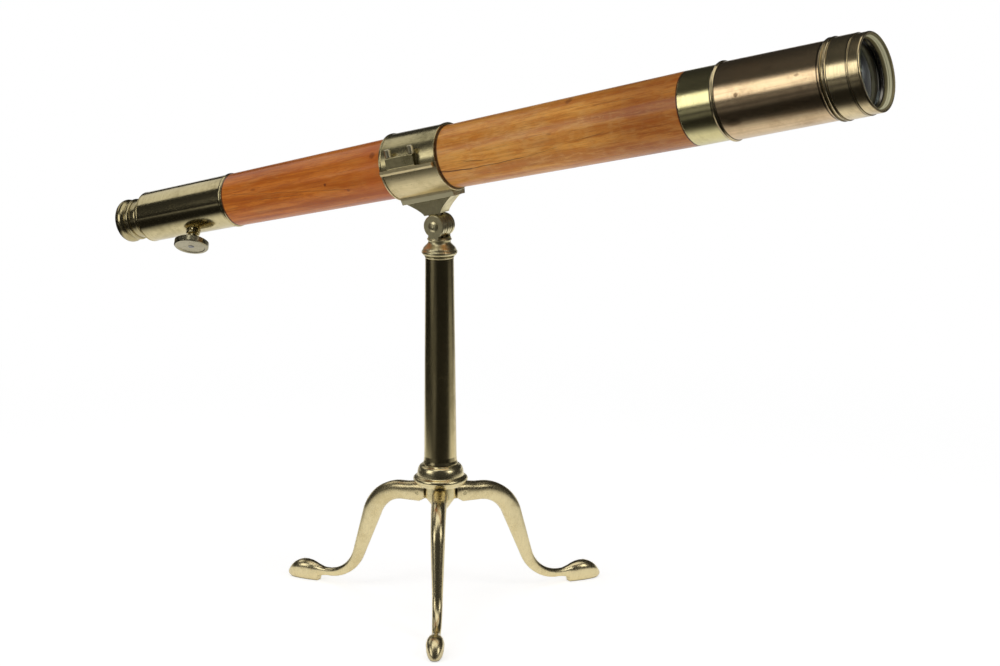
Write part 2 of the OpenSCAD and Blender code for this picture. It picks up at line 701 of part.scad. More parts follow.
// Eye body: tapered brass tube with a bead beside the wood and a spigot inside it
body_bead = 0.8;
function body_r(s) = mix(eye_body_r, wood_r0, (s - eye_end) / eye_body_l);

module eye_body() {
    bead_s = -wood_back - 2.4;
    color(brass) difference() {
        turned(concat(
            [[eye_bore_r, eye_end], [body_r(eye_end) - 0.5, eye_end], [body_r(eye_end), eye_end + 0.5],
             [body_r(bead_s - 1.4), bead_s - 1.4]],
            arc([body_r(bead_s) - 0.6, bead_s], body_bead + 0.6, -60, 60, 6),
            [[body_r(bead_s + 1.4), bead_s + 1.4], [wood_r0 + 0.15, -wood_back],
             [eye_spigot_r, -wood_back], [eye_spigot_r, eye_spigot_l - wood_back],
             [eye_bore_r, eye_spigot_l - wood_back]]));
        arbor_frame() mirror([0, 0, 1]) cylinder(r = bush_r + fit, h = knob_face);
    }
}

// Bushes that guide the draw tube: the front one closes the eye body with a small rim
bush_l = 7.6;
rear_bush_l = 14;
end_rim_t = 1.4;
module front_bush() {
    rim_r = body_r(eye_end) + 0.2;
    color(brass) turned([[draw_r + running, eye_end - end_rim_t], [rim_r - 0.6, eye_end - end_rim_t],
        [rim_r, eye_end - 0.9], [rim_r, eye_end - 0.4], [rim_r - 0.7, eye_end],
        [eye_bore_r - fit, eye_end], [eye_bore_r - fit, eye_end + bush_l],
        [draw_r + running, eye_end + bush_l]]);
}

// The rear one stands just ahead of the rack
module rear_bush() {
    color(brass) ring(rack_end_s + 2, rack_end_s + 2 + rear_bush_l, eye_bore_r - fit, draw_r + running);
}

// Pinion bush: a small turned boss screwed through the eye body's wall
bush_r = 5;
pitch_r = gear_mod * pinion_teeth / 2;
gear_out = eye_bore_r - 1.3;
gear_in = draw_r + 0.4;
bush_out = knob_face - knob_t - gap;

module pinion_bush() {
    body_out = body_r(pinion_s);
    color(brass) difference() {
        union() {
            arbor_turned([[0, eye_bore_r + 0.1], [bush_r, eye_bore_r + 0.1], [bush_r, body_out + 1],
                [0, body_out + 1]]);
            difference() {
                arbor_turned(concat(
                    [[0, body_out - 2], [6.6, body_out - 2], [6.6, body_out + 1.2]],
                    arc([5.2, body_out + 2.6], 1.2, -60, 70, 5),
                    [[4.2, body_out + 4.2], [4.2, bush_out - 2.4], [5, bush_out - 1.8], [5, bush_out],
                     [0, bush_out]]));
                on_axis() translate([0, 0, eye_end])
                    cylinder(r1 = eye_body_r + fit, r2 = wood_r0 + fit, h = eye_body_l);
            }
        }
        arbor_turned([[0, 0], [arbor_r + running, 0], [arbor_r + running, knob_face], [0, knob_face]]);
    }
}

// Involute pinion, one tooth facing the rack at rest
backlash = 0.12;
base_r = pitch_r * cos(pressure_angle);
tip_r = pitch_r + gear_mod;
root_r = pitch_r - 1.25 * gear_mod;
function involute_a(r) = let (t = sqrt(max(pow(r / base_r, 2) - 1, 0))) t * 180 / PI - atan(t);
half_tooth = 90 / pinion_teeth - backlash / 2 / pitch_r * 180 / PI + involute_a(pitch_r);
flank = [for (i = [0:5]) let (r = mix(base_r, tip_r, i / 5)) [r, half_tooth - involute_a(r)]];
function polar(r, a) = [r * cos(a), r * sin(a)];

module pinion_outline() {
    polygon([for (k = [0:pinion_teeth - 1]) let (a = 90 + 360 * k / pinion_teeth)
        each concat(
            [polar(root_r, a - half_tooth)],
            [for (f = flank) polar(f[0], a - f[1])],
            [for (i = [5:-1:0]) polar(flank[i][0], a + flank[i][1])],
            [polar(root_r, a + half_tooth)])]);
}

module focus_pinion() {
    color(steel) union() {
        arbor_frame() translate([0, 0, -gear_out]) linear_extrude(gear_out - gear_in) pinion_outline();
        arbor_turned([[0, gear_out - 0.5], [arbor_r, gear_out - 0.5], [arbor_r, knob_face - 2.4],
            [0, knob_face - 2.4]]);
    }
}

// Rack: a toothed strip along the draw tube, its teeth facing the pinion sideways
rack_pitch = PI * gear_mod;
rack_teeth = ceil((focus_travel + 12) / rack_pitch);
rack_tooth_top = rack_pitch / 4 - backlash / 4 - gear_mod * tan(pressure_angle);
rack_tooth_root = rack_pitch / 4 - backlash / 4 + 1.25 * gear_mod * tan(pressure_angle);
rack_tip_y = pitch_r - gear_mod;
rack_root_y = pitch_r + 1.25 * gear_mod;
rack_w = 3;
rack_lead = 6;       // how far the rack reaches past the pinion on the eye side
rack_first = ceil(-rack_lead / rack_pitch - 1);
rack_end_s = pinion_s + (rack_first + rack_teeth + 0.2) * rack_pitch;

module rack_outline() {
    x0 = (rack_first - 0.2) * rack_pitch;
    x1 = rack_end_s - pinion_s;
    polygon(concat(
        [[x0, rack_root_y + rack_w], [x0, rack_root_y]],
        [for (k = [rack_first:rack_first + rack_teeth - 1]) let (x = (k + 0.5) * rack_pitch)
            each [[x - rack_tooth_root, rack_root_y], [x - rack_tooth_top, rack_tip_y],
                  [x + rack_tooth_top, rack_tip_y], [x + rack_tooth_root, rack_root_y]]],
        [[x1, rack_root_y], [x1, rack_root_y + rack_w]]));
}

module focus_rack() {
    color(brass) difference() {
        intersection() {
            arbor_frame() translate([0, 0, -gear_out]) linear_extrude(gear_out) rack_outline();
            ring(eye_end, -wood_back, eye_bore_r - 0.4, 0);
        }
        ring(eye_end - cut, cut - wood_back, draw_r + fit, 0);
    }
}

// Focusing knob: a flat turned disc with a dished outer face
module focus_knob() {
    inner = knob_face - knob_t;
    color(brass) difference() {
        arbor_turned([[0, inner], [knob_r - 1.4, inner], [knob_r, inner + 1], [knob_r, knob_face - 0.8],
            [knob_r - 0.8, knob_face], [knob_r - 3, knob_face], [knob_r - 3.6, knob_face - 0.6],
            [0, knob_face - 0.6]]);
        arbor_turned([[0, inner - cut], [arbor_r + fit, inner - cut], [arbor_r + fit, knob_face - 2.3],
            [0, knob_face - 2.3]]);
        arbor_turned([[0, knob_face - 4], [1.2, knob_face - 4], [1.2, knob_face - 1.7],
            [2.8, knob_face - 1.7], [2.8, knob_face + cut], [0, knob_face + cut]]);
    }
}

module knob_screw() {
    color(steel) difference() {
        arbor_turned([[0, knob_face - 2.3 + fit], [1.2 - fit, knob_face - 2.3 + fit],
            [1.2 - fit, knob_face - 1.7], [2.8 - fit, knob_face - 1.7], [2.8 - fit, knob_face - 0.4],
            [0, knob_face - 0.2]]);
        arbor_frame() translate([-4, -0.3, -knob_face - cut]) cube([8, 0.6, cut + 0.8]);
    }
}

// Draw tube and eyepiece
module draw_tube() {
    color(brass) ring(cup_back - draw_hold, draw_back_in, draw_r, draw_r - draw_wall);
}

eye_hole_r = 6;
module eyepiece_cup() {
    dome = arc([cup_r - 5.6, cup_front + 5.6], 5.6, -90, 60, 9);
    color(brass) turned(concat(
        [[eye_hole_r, cup_front + 3], [eye_hole_r + 3, cup_front + 2], [cup_r - 6.6, cup_front]],
        dome,
        [[cup_r - 2.4, cup_front + 11.6], [cup_r - 2.4, cup_front + 12.6]],
        arc([cup_r - 2.9, cup_front + 15.3], 2.1, -bead_arc, bead_arc, 8),
        [[draw_r + 0.6, cup_front + 18.4], [draw_r + 0.6, cup_back - 1], [draw_r + 0.4, cup_back],
         [draw_r + fit, cup_back], [draw_r + fit, cup_back - draw_hold - fit],
         [eye_hole_r, cup_back - draw_hold - fit]]));
}

lens_r = draw_r - 2 * draw_wall - 2 * fit;
inner_r = draw_r - draw_wall - fit;
eyepiece_s = cup_back - draw_hold + gap;
eyepiece_l = 48;
erector_l = 80;
erector_s = draw_back_in - erector_l - 4;

module eyepiece_tube() { color(blacked) ring(eyepiece_s, eyepiece_s + eyepiece_l, inner_r, inner_r - draw_wall); }
module erector_tube() { color(blacked) ring(erector_s, erector_s + erector_l, inner_r, inner_r - draw_wall); }

// Lens with its rim from station s, and faces that bulge by b0 to the eye and b1 to the front
module lens(s, r, rim_t, b0, b1) {
    n = 6;
    color(glass) turned(concat(
        [for (i = [0:n]) [r * i / n, s - b0 * (1 - pow(i / n, 2))]],
        [for (i = [n:-1:0]) [r * i / n, s + rim_t + b1 * (1 - pow(i / n, 2))]]));
}

module eye_lens() { lens(eyepiece_s + 2.4, lens_r, 1.6, 0, 2.2); }
module field_lens() { lens(eyepiece_s + eyepiece_l - 4, lens_r, 1.8, 2, 0); }
module field_stop() { color(blacked) ring(eyepiece_s + 22, eyepiece_s + 23.5, lens_r, 9.5); }
module erector_lens_rear() { lens(erector_s + 3, lens_r, 1.8, 2, 0); }
module erector_lens_front() { lens(erector_s + erector_l - 5, lens_r, 1.8, 0, 2); }
module erector_stop() { color(blacked) ring(erector_s + 34, erector_s + 35.5, lens_r, 3.5); }

// Object tube, cell and glass
object_bore_r = object_r - object_wall;
cell_depth = 12;
cell_bore_r = glass_r + fit;
flint_rim_t = 4.4;
crown_rim_t = 3;
inner_sag = 2.2;     // bulge of the faces between the two lenses
front_sag = 1.8;     // bulge of the front face
glass_joint = object_end - 0.1;
flint_s = glass_joint - flint_rim_t;
ring_seat = glass_joint + crown_rim_t + 0.13;

module object_tube() {
    color(bright_brass) turned([
        [object_spigot_r - 1.1, wood_front - object_spigot_l], [object_spigot_r, wood_front - object_spigot_l],
        [object_spigot_r, wood_front], [object_r - 0.3, wood_front], [object_r, wood_front + 0.3],
        [object_r, object_end], [object_bore_r, object_end], [object_bore_r, wood_front + 4],
        [object_spigot_r - 1.1, wood_front + 2]]);
}

module object_cell() {
    color(blacked) turned([[glass_clear_r, object_end - cell_depth], [object_bore_r - fit, object_end - cell_depth],
        [object_bore_r - fit, object_end], [object_r - fit, object_end], [object_r - fit, cell_front - 0.6],
        [object_r - 0.6, cell_front], [cell_bore_r, cell_front], [cell_bore_r, flint_s - fit],
        [glass_clear_r, flint_s - fit]]);
}

lens_steps = 8;
module flint_lens() {
    color(glass) turned(concat([[0, flint_s]], [[glass_r, flint_s]],
        [for (i = [lens_steps:-1:0]) let (t = i / lens_steps)
            [glass_r * t, glass_joint - inner_sag * (1 - pow(t, 2))]]));
}

module crown_lens() {
    color(glass) turned(concat(
        [for (i = [0:lens_steps]) let (t = i / lens_steps)
            [glass_r * t, glass_joint + fit - inner_sag * (1 - pow(t, 2))]],
        [for (i = [lens_steps:-1:0]) let (t = i / lens_steps)
            [glass_r * t, glass_joint + crown_rim_t + front_sag * (1 - pow(t, 2))]]));
}

module lens_ring() {
    front = cell_front - 0.4;
    color(blacked) turned([[glass_clear_r, ring_seat + 0.5], [glass_r - 0.8, ring_seat],
        [glass_r, ring_seat], [glass_r, front], [glass_r - 0.5, front], [glass_clear_r, ring_seat + 0.9]]);
}

// Sliding shade
module shade_tube() {
    color(bronze) ring(shade_back + 0.6, cell_front - 1, shade_r, shade_bore_r);
}

bead_rise = 1;
module shade_rear_ring() {
    color(bronze) turned(concat([[shade_r + fit, shade_back]],
        [[shade_r + 0.5, shade_back]],
        arc([shade_r, shade_back + 1.7], bead_rise + 0.2, -60, 60, 5),
        [[shade_r + 0.3, shade_back + 3.6], [shade_r + fit, shade_back + 3.6]]));
}

band_r = cap_seat_r + 0.75;
module shade_front_ring() {
    band_back = band_front - band_l;
    color(bronze) turned(concat(
        [[shade_r + fit, band_back]],
        [[shade_r + 0.8, band_back]],
        arc([band_r - 0.3, band_back + 1.2], 1, -70, 70, 6),
        [[band_r - 0.5, band_back + 2.5], [band_r - 0.5, band_back + 3.2]],
        arc([band_r - 0.7, band_back + 4.9], 1.5, -bead_arc, bead_arc, 8),
        [[band_r - 0.5, band_back + 6.6], [band_r, band_back + 7],
         [band_r, band_front - 0.4], [band_r - 0.4, band_front],
         [cap_seat_r, band_front], [cap_seat_r, band_front + cap_seat_l]],
        arc([cap_seat_r - 1.4, mouth - 1.4], 1.4, 10, 150, 8),
        [[object_r - 2, mouth - 3.6], [object_r - 2, mouth - 4.1], [object_r - 1.8, mouth - 4.3],
         [object_r - 2.9, mouth - 7.2], [object_r - 2.9, cell_front + gap],
         [shade_r + fit, cell_front + gap]]));
}

tripod_head();
pillar();
pillar_socket();
leg_hinge_pins();
leg_rear();
leg_left();
leg_right();
joint_head();
spindle_washer();
spindle_nut();
joint_pin();
joint_nut();
joint_block();
saddle_screws();
collar_lower();
collar_upper();
clamp_screws();
wood_barrel();
barrel_stop();
eye_body();
front_bush();
rear_bush();
pinion_bush();
draw_tube();
focus_rack();
eyepiece_cup();
eyepiece_tube();
eye_lens();
field_stop();
field_lens();
erector_tube();
erector_lens_rear();
erector_stop();
erector_lens_front();
focus_pinion();
focus_knob();
knob_screw();
object_tube();
object_cell();
crown_lens();
flint_lens();
lens_ring();
shade_tube();
shade_rear_ring();
shade_front_ring();
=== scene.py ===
import bpy
import math
from mathutils import Matrix, Vector

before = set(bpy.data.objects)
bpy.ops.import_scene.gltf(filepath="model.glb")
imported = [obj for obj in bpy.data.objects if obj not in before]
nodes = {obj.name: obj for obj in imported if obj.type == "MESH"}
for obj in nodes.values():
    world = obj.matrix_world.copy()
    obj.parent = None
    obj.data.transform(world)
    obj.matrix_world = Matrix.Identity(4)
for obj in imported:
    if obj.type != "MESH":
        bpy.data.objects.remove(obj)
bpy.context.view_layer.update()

MM = 0.001
WHITE = (1, 1, 1, 1)

# The pin of the compass joint and the tube's axis above it, in metres in the part's frame
PIN_X, PIN_Z = -0.03407, 0.346
AXIS_ABOVE_PIN = 0.0567
TILT = math.radians(14.3)
# Stations along the tube are counted from this point of its axis, in the middle of the collar
TUBE_ZERO = Vector((PIN_X - AXIS_ABOVE_PIN * math.sin(TILT), 0, PIN_Z + AXIS_ABOVE_PIN * math.cos(TILT)))


class Nodes:
    """A node tree, with short calls for the shader nodes that the looks are built from."""

    def __init__(self, tree):
        self.tree = tree

    def node(self, kind, inputs=None, **settings):
        """A new node. inputs gives a value or a socket to link for each input, by name or index."""
        made = self.tree.nodes.new("ShaderNode" + kind)
        for key, value in settings.items():
            setattr(made, key, value)
        for key, value in (inputs or {}).items():
            self.feed(made.inputs[key], value)
        return made

    def feed(self, socket, value):
        if isinstance(value, bpy.types.NodeSocket):
            self.tree.links.new(value, socket)
        else:
            socket.default_value = value

    def maths(self, operation, a, b=0.0):
        return self.node("Math", {0: a, 1: b}, operation=operation).outputs[0]

    def plus(self, a, b):
        return self.maths("ADD", a, b)

    def minus(self, a, b):
        return self.maths("SUBTRACT", a, b)

    def times(self, a, b):
        return self.maths("MULTIPLY", a, b)

    def most(self, greatest, *others):
        """The greatest of all these values."""
        for other in others:
            greatest = self.maths("MAXIMUM", greatest, other)
        return greatest

    def distance(self, a, b):
        """How far a point lies from zero, a along one axis and b along another."""
        return self.maths("SQRT", self.plus(self.times(a, a), self.times(b, b)))

    def vector(self, operation, a, b):
        return self.node("VectorMath", {0: a, 1: b}, operation=operation).outputs[0]

    def along(self, a, b):
        """How far the vector a reaches along b."""
        return self.node("VectorMath", {0: a, 1: b}, operation="DOT_PRODUCT").outputs["Value"]

    def ease(self, value, low, high):
        """0 below low, 1 above high and smooth between them; falls instead where high is the lower."""
        return self.node("MapRange", {"Value": value, "From Min": low, "From Max": high},
                         interpolation_type="SMOOTHSTEP").outputs[0]

    def spread(self, value, low, high):
        """A value of 0 to 1 brought to the range from low to high."""
        return self.node("MapRange", {"Value": value, "To Min": low, "To Max": high}).outputs[0]

    def mix(self, factor, a, b):
        """From colour a at factor 0 to colour b at 1; each is a socket or red, green and blue."""
        a, b = (c if isinstance(c, bpy.types.NodeSocket) else (*c, 1) for c in (a, b))
        return self.node("Mix", {0: factor, 6: a, 7: b}, data_type="RGBA").outputs[2]

    def over(self, colour, where, cover, strength):
        """A colour with another one laid over it: where is 0 to 1, and strength is its share there."""
        return self.mix(self.times(where, strength), colour, cover)


class Finish(Nodes):
    """A material whose Principled shader is fed from the point on the piece.

    place is that point in mm. For pieces of the tube x is the station, y points to the far side and z is the
    height above the tube's axis; for the others x, y and z are the part's own.
    """

    def __init__(self, name, of_tube=False):
        self.material = bpy.data.materials.new(name)
        self.material.use_nodes = True
        super().__init__(self.material.node_tree)
        self.shader = next(n for n in self.tree.nodes if n.type == "BSDF_PRINCIPLED")
        point = self.node("TexCoord").outputs["Object"]
        if of_tube:
            turn = Matrix.Rotation(TILT, 3, "Y")
            point = self.node("Mapping", {"Vector": point, "Location": -(turn @ TUBE_ZERO),
                                          "Rotation": (0, TILT, 0)}).outputs[0]
        self.place = self.vector("MULTIPLY", point, (1 / MM,) * 3)
        self.x, self.y, self.z = self.node("SeparateXYZ", {0: self.place}).outputs

    def set(self, **sockets):
        """Sets the shader's inputs; an underscore stands for the space in a name."""
        for key, value in sockets.items():
            self.feed(self.shader.inputs[key.replace("_", " ")], value)

    def noise(self, size, shift=0.0, detail=3.0, roughness=0.55, warp=0.0):
        """Clouds of that size in mm, one number or one for each axis. shift gives other clouds."""
        sizes = size if isinstance(size, tuple) else (size,) * 3
        at = self.node("VectorMath", {0: self.place, 1: tuple(1 / s for s in sizes), 2: (shift,) * 3},
                       operation="MULTIPLY_ADD").outputs[0]
        return self.node("TexNoise", {"Vector": at, "Scale": 1.0, "Detail": detail, "Roughness": roughness,
                                      "Distortion": warp}).outputs["Fac"]

    def bump(self, height, depth, normal=None):
        """Relief of that depth in mm, on top of another relief where normal is given."""
        made = self.node("Bump", {"Height": height, "Distance": depth * MM, "Strength": 1.0})
        if normal is not None:
            self.feed(made.inputs["Normal"], normal)
        return made.outputs[0]

    def rounded(self, radius):
        """The surface's direction with its edges rounded to that radius in mm, and 1 at an edge, 0 elsewhere."""
        soft = self.node("Bevel", {"Radius": radius * MM}, samples=4).outputs[0]
        flat = self.node("NewGeometry").outputs["Normal"]
        return soft, self.ease(self.along(soft, flat), 0.995, 0.90)

    def corners(self, reach):
        """0 in the open and 1 deep in a corner or groove, felt from that many mm away."""
        open_share = self.node("AmbientOcclusion", {"Distance": reach * MM}, samples=6).outputs["AO"]
        return self.ease(open_share, 0.80, 0.25)

    def bar(self, start, stop, soft=0.5):
        """1 between two stations along the tube and 0 outside them."""
        return self.times(self.ease(self.x, start - soft, start + soft),
                          self.ease(self.x, stop + soft, stop - soft))

    def bore(self, radius, soft, taper=0.0):
        """1 in the tube's hollow and 0 outside it. radius is the hollow's at station 0; taper widens it per mm."""
        out = self.minus(self.distance(self.y, self.z), self.times(self.x, taper))
        return self.ease(out, radius + soft, radius - soft)

    def near_side(self):
        """1 on the tube's near side and 0 on its far side."""
        return self.ease(self.y, -4.0, -8.0)

    def mark(self, station, height, length, width, strength):
        """A ragged blot on the tube's near side."""
        a = self.maths("DIVIDE", self.minus(self.x, station), length)
        b = self.maths("DIVIDE", self.minus(self.z, height), width)
        ragged = self.spread(self.noise(2.4, shift=station), -0.35, 0.35)
        blot = self.ease(self.plus(ragged, self.distance(a, b)), 1.0, 0.35)
        return self.times(self.times(self.near_side(), blot), strength)

    def line(self, start, stop, half_width, strength, wander):
        """A line on the tube's near side between two places, each a station and a height. wander bends it."""
        slope = (stop[1] - start[1]) / (stop[0] - start[0])
        level = self.minus(self.minus(self.z, self.times(self.minus(self.x, start[0]), slope)), start[1])
        away = self.maths("ABSOLUTE", self.plus(level, wander))
        inside = self.times(self.bar(start[0], stop[0], 3.0), self.ease(away, 2 * half_width, half_width))
        return self.times(self.times(inside, self.near_side()), strength)


def darker(colour, share):
    """The colour with only that share of its light."""
    return tuple(c * share for c in colour)


def metal(name, clean, aged, of_tube=False, rough=(0.14, 0.236), patches=(0.42, 0.72), lines=(1.0, 1.0, 1.0),
          spots=0.5, dirt_and_shade=0.8, waves=0.10, grain=0.004, edge=0.45, blots=(), shaded_seams=(), special=None):
    """Old polished metal: clean where hands rub it and on its edges, darker in clouds and spots, and darker in
    corners with grime and painted shade.

    rough is its roughness where clean and where aged, and patches the range of the clouds between the two.
    lines gives the sizes in mm of the polishing marks along each axis. spots and dirt_and_shade are the strengths
    of the pits and of the grime and painted shade in corners. waves and grain are the depths in mm of the broad
    and the fine unevenness, and edge is the radius of its edges. blots are marks of tarnish, and shaded_seams are
    pairs of stations with a dark line between them, painted shade with some dirt beside beads. special is a
    function that gives one place of the piece a colour, roughness and metallic share of its own.
    """
    f = Finish(name, of_tube)
    # tarnish comes in broad clouds with finer ones in them
    clouds = f.times(f.noise(38.0, shift=1.7, detail=4), 0.6)
    mottle = f.times(f.noise(5.5, shift=9.2, detail=4, roughness=0.65), 0.4)
    patch = f.ease(f.plus(clouds, mottle), *patches)
    streak = f.noise(lines, shift=4.4, roughness=0.6)
    pits = f.ease(f.noise(1.9, shift=3.1, detail=1.5), 0.70, 0.78)
    smooth, rim = f.rounded(edge)
    # painted shade with grime: corners and grooves are darkened by how enclosed they are
    grime_and_shade = f.corners(2.6)
    pit_colour, blot_colour, black = (darker(aged, share) for share in (0.25, 0.45, 0.16))

    colour = f.mix(patch, clean, aged)
    colour = f.over(colour, f.ease(streak, 0.35, 0.75), aged, 0.35)
    colour = f.over(colour, rim, clean, 0.55)
    colour = f.over(colour, pits, pit_colour, spots)
    for blot in blots:
        colour = f.mix(f.mark(*blot), colour, blot_colour)
    # painted shade with grime: the corner mask lays a dark colour into corners and grooves
    colour = f.over(colour, grime_and_shade, black, dirt_and_shade)
    # painted shade with some dirt: dark lines beside the beads and rings
    for seam in shaded_seams:
        colour = f.over(colour, f.bar(*seam, 0.25), black, 0.85)

    roughness = f.plus(f.spread(patch, *rough), f.times(streak, 0.10))
    roughness = f.plus(roughness, f.times(grime_and_shade, 0.25))
    metallic = 1.0
    if special is not None:
        colour, roughness, metallic = special(f, colour, roughness)

    # a hammered or cast surface is never quite even; the polishing marks lie on top of that
    relief = f.bump(f.noise(24.0, shift=6.6, detail=1.5), waves, smooth)
    relief = f.bump(streak, 1.2 * grain, relief)
    relief = f.bump(f.noise(1.1, shift=2.2), grain, relief)
    f.set(Base_Color=colour, Roughness=roughness, Metallic=metallic, Normal=relief)
    return f.material


# Radius in mm of the hollow of the object tube and of the front ring, and the height of the saddle plate's top
FRONT_BORE = 31.1
SADDLE_TOP = -29.4


def saddle_painted_reflection(f, colour, roughness):
    """The saddle plate under the collar is duller than the collar, and its pale colour is a painted reflection of
    the pale floor.
    """
    plate = f.ease(f.z, SADDLE_TOP + 0.3, SADDLE_TOP - 0.3)
    # painted reflection: the plate is coloured a pale yellow where it would mirror the pale floor
    colour = f.over(colour, plate, (0.97, 0.90, 0.60), 0.85)
    return colour, f.most(roughness, f.times(plate, 0.55)), 1.0


def matt_mouth(f, colour, roughness):
    """The front ring isn't polished inside; a pale stripe from its groove nearly to its rim is a painted
    highlight.
    """
    mouth = f.bore(FRONT_BORE, soft=0.1)
    lip_highlight = f.times(f.ease(f.x, 432.3, 433.3), f.ease(f.x, 436.7, 435.9))
    # painted highlight: a pale, less metallic stripe where the rim inside the mouth catches light
    colour = f.mix(mouth, colour, f.mix(lip_highlight, (0.36, 0.31, 0.16), (1.0, 0.95, 0.62)))
    metallic = f.minus(1.0, f.times(mouth, f.spread(lip_highlight, 0.4, 0.9)))
    return colour, f.most(roughness, f.times(mouth, 0.5)), metallic


def black_inside(f, colour, roughness):
    """The object tube is painted black inside, against stray light."""
    paint = f.bore(FRONT_BORE, soft=0.1)
    colour = f.mix(paint, colour, (0.012, 0.011, 0.010))
    return colour, f.most(roughness, f.times(paint, 0.65)), f.minus(1.0, paint)


# Cracks and dark grain lines in the wood: from where to where (station, height), half width and strength
CRACKS = (
    ((26.0, -10.2), (63.0, -12.7), 0.28, 0.85), ((63.0, -12.7), (116.0, -11.5), 0.20, 0.65),
    ((170.0, -6.3), (200.0, -4.0), 0.18, 0.35), ((56.0, -4.6), (75.0, -7.7), 0.20, 0.60),
    ((118.0, -11.5), (150.0, -8.8), 0.15, 0.40), ((-209.0, 7.3), (-152.0, 0.1), 0.20, 0.25),
    ((-152.0, 0.1), (-68.0, -9.8), 0.22, 0.30), ((190.0, 19.5), (230.0, 19.0), 0.30, 0.25),
    ((-168.0, -3.0), (-120.0, -6.4), 0.18, 0.35),
)
# Knots in the wood: station, height, length, width and strength
KNOTS = (
    (-92.3, -1.8, 1.9, 1.8, 1.0), (-172.9, 6.4, 4.0, 1.6, 0.5), (-39.0, 15.2, 4.0, 3.4, 0.7),
    (146.4, 3.4, 3.6, 1.5, 0.4), (162.3, 27.1, 4.5, 3.5, 0.6), (-70.0, -10.5, 2.2, 1.6, 0.6),
)
# Dirt and painted shade on the wood at the edges of the collar, and beside the eye body and the ferrule
DIRT_AND_SHADE_BANDS = ((-31.2, 31.2), (-212.0, -208.7), (271.0, 274.0))


def wood(name):
    """Old waxed fruitwood with its grain along the tube, a shrinkage crack and a few dark marks."""
    f = Finish(name, of_tube=True)
    broad = f.noise((150.0, 9.0, 9.0), shift=2.3, detail=4, roughness=0.6, warp=0.35)
    blotch = f.noise((60.0, 24.0, 24.0), shift=8.8)
    figure = f.noise((8.0, 16.0, 16.0), shift=5.1, detail=2, warp=0.3)
    mottle = f.noise((22.0, 5.0, 5.0), shift=6.3, detail=4, roughness=0.7, warp=0.5)
    grain = f.noise((42.0, 1.3, 1.3), shift=7.7, detail=4, roughness=0.62, warp=0.25)
    fibre = f.noise((9.0, 0.30, 0.30), shift=1.1, detail=2)
    wander = f.spread(f.noise((16.0, 400.0, 400.0), shift=3.9, detail=5), -0.9, 0.9)

    # the barrel is red behind the collar and paler, with more figure, in front of it
    front = f.ease(f.x, -60.0, 60.0)
    light = f.mix(front, (0.72, 0.215, 0.024), (0.87, 0.395, 0.078))
    dark = f.mix(front, (0.48, 0.115, 0.008), (0.59, 0.200, 0.024))
    grain_colour = f.mix(front, (0.33, 0.070, 0.010), (0.40, 0.125, 0.022))
    mottle_colour = f.mix(front, (0.48, 0.105, 0.008), (0.58, 0.170, 0.020))
    pores = f.times(f.ease(fibre, 0.58, 0.72), 0.45)
    colour = f.mix(f.ease(broad, 0.38, 0.64), light, dark)
    colour = f.over(colour, f.ease(figure, 0.42, 0.80), (0.80, 0.42, 0.13), f.spread(front, 0.02, 0.34))
    colour = f.over(colour, f.ease(blotch, 0.48, 0.68), (0.66, 0.32, 0.10), f.spread(front, 0.12, 0.34))
    colour = f.over(colour, f.ease(grain, 0.46, 0.72), grain_colour, 0.58)
    colour = f.over(colour, f.ease(mottle, 0.50, 0.64), mottle_colour, 0.52)
    colour = f.over(colour, f.ease(mottle, 0.48, 0.34), (0.84, 0.44, 0.12), f.spread(front, 0.10, 0.50))
    colour = f.mix(pores, colour, (0.22, 0.060, 0.012))

    # it is stained red just behind the collar, and darker towards the ferrule
    stain = f.times(f.ease(f.x, -62.0, -40.0), f.ease(f.x, -10.0, -20.0))
    colour = f.over(colour, stain, (0.52, 0.10, 0.010), 0.45)
    deeper = f.mix(f.ease(f.x, 165.0, 238.0), (1.0, 1.0, 1.0), (0.68, 0.57, 0.52))
    colour = f.vector("MULTIPLY", colour, deeper)

    knots = f.most(*(f.mark(*knot) for knot in KNOTS))
    crack = f.most(*(f.line(*each, wander) for each in CRACKS))
    dirt_and_shade = f.most(*(f.bar(*each) for each in DIRT_AND_SHADE_BANDS))
    colour = f.over(colour, knots, (0.12, 0.026, 0.006), 0.80)
    colour = f.over(colour, crack, (0.045, 0.014, 0.006), 0.90)
    # painted shade with dirt: dark bands where the wood meets the collar, the eye body and the ferrule
    colour = f.over(colour, dirt_and_shade, (0.020, 0.010, 0.007), 0.85)
    colour = f.mix(f.bore(25.0, soft=0.2, taper=0.01556), colour, (0.012, 0.010, 0.009))

    roughness = f.spread(f.plus(f.times(blotch, 0.6), f.times(grain, 0.4)), 0.24, 0.48)
    relief = f.bump(f.minus(grain, pores), 0.05)
    relief = f.bump(f.noise(30.0, shift=4.0, detail=1.5), 0.12, relief)
    relief = f.bump(f.minus(1.0, crack), 0.5, relief)
    f.set(Base_Color=colour, Roughness=roughness, Normal=relief, Specular_IOR_Level=0.16, Coat_Weight=0.34,
          Coat_Roughness=0.16)
    return f.material


def black_paint(name):
    """Old blackening on brass, rubbed to a dark brown in places and to the metal on its edges."""
    f = Finish(name, of_tube=True)
    worn = f.ease(f.noise(6.0, shift=2.0, detail=5, roughness=0.65), 0.50, 0.70)
    smooth, rim = f.rounded(0.3)
    colour = f.mix(worn, (0.020, 0.017, 0.015), (0.055, 0.040, 0.022))
    colour = f.over(colour, rim, (0.30, 0.24, 0.12), 0.6)
    roughness = f.spread(f.noise(3.0, shift=5.0), 0.28, 0.50)
    relief = f.bump(f.noise(0.9, shift=1.0), 0.02, smooth)
    f.set(Base_Color=colour, Roughness=roughness, Metallic=f.times(rim, 0.8), Normal=relief)
    return f.material


